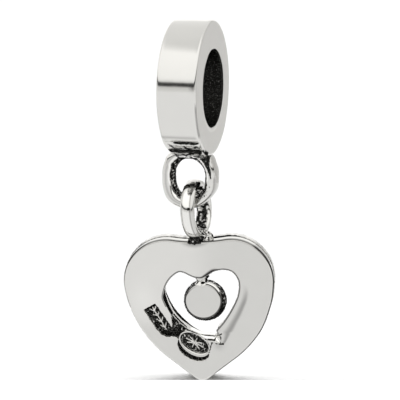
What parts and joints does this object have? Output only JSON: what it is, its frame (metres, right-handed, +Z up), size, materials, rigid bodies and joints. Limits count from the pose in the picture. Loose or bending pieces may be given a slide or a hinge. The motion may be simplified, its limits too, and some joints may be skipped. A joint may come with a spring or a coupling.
{
  "type": "dangle charm",
  "caption": "Dangle charm: an open heart drop with a cup in its opening swings on the ear of a thick bead with a bore for a bracelet.",
  "frame": {"origin": "middle of the bead's bore, where a bracelet carries the charm", "axes": "+X along the bore, +Z up, -Y towards the plain back of the heart"},
  "size_m": [0.0099, 0.0084, 0.023],
  "materials": {
    "silver": "polished cast silver, darkened in the recesses"
  },
  "bodies": {
    "bail": {"bead_bail": "silver"},
    "drop": {"heart_drop": "silver"}
  },
  "joints": [
    {"name": "drop_swing", "type": "hinge", "parent": "bail", "child": "drop", "pos_m": [0, 0, -0.00727], "axis": [1, 0, 0], "range_deg": [-75, 75]}
  ]
}
